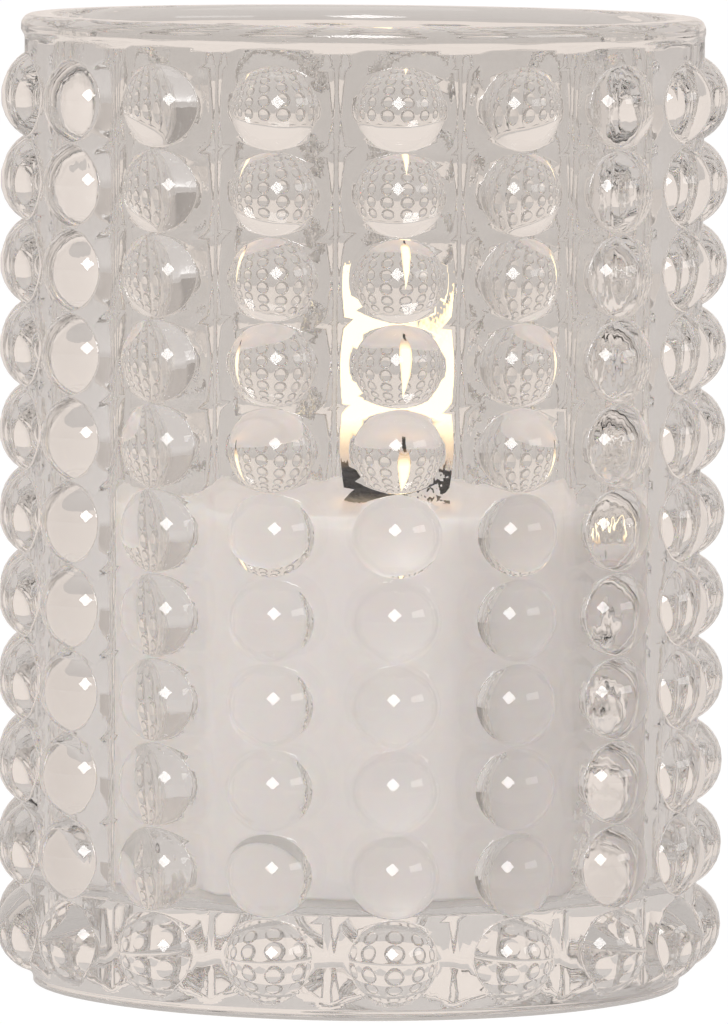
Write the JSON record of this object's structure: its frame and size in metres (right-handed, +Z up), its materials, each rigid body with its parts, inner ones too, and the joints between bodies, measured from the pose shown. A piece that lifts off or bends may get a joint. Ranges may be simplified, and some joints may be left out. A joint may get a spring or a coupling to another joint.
{
  "type": "tealight holder",
  "caption": "Thick-based clear glass tealight holder, straight sided, with upright ribs that each carry a column of round beads, and a loose white wax candle inside.",
  "frame": {"origin": "centre of the face that the glass stands on", "axes": "+Z up along the axis of the glass, -Y towards the viewer"},
  "size_m": [0.0749, 0.0751, 0.1],
  "materials": {
    "clear_glass": "clear pressed glass, fire polished",
    "white_wax": "smooth white candle wax, slightly translucent",
    "wick_cotton": "braided cotton, charred at the tip",
    "tinned_steel": "bright tinned sheet"
  },
  "bodies": {
    "holder": {"glass_holder": "clear_glass"},
    "candle": {"wax_candle": "white_wax", "wick": "wick_cotton", "wick_tab": "tinned_steel"}
  },
  "joints": [
    {"name": "candle_lift", "type": "slide", "parent": "holder", "child": "candle", "axis": [0, 0, 1], "range_m": [0, 0.095]}
  ]
}
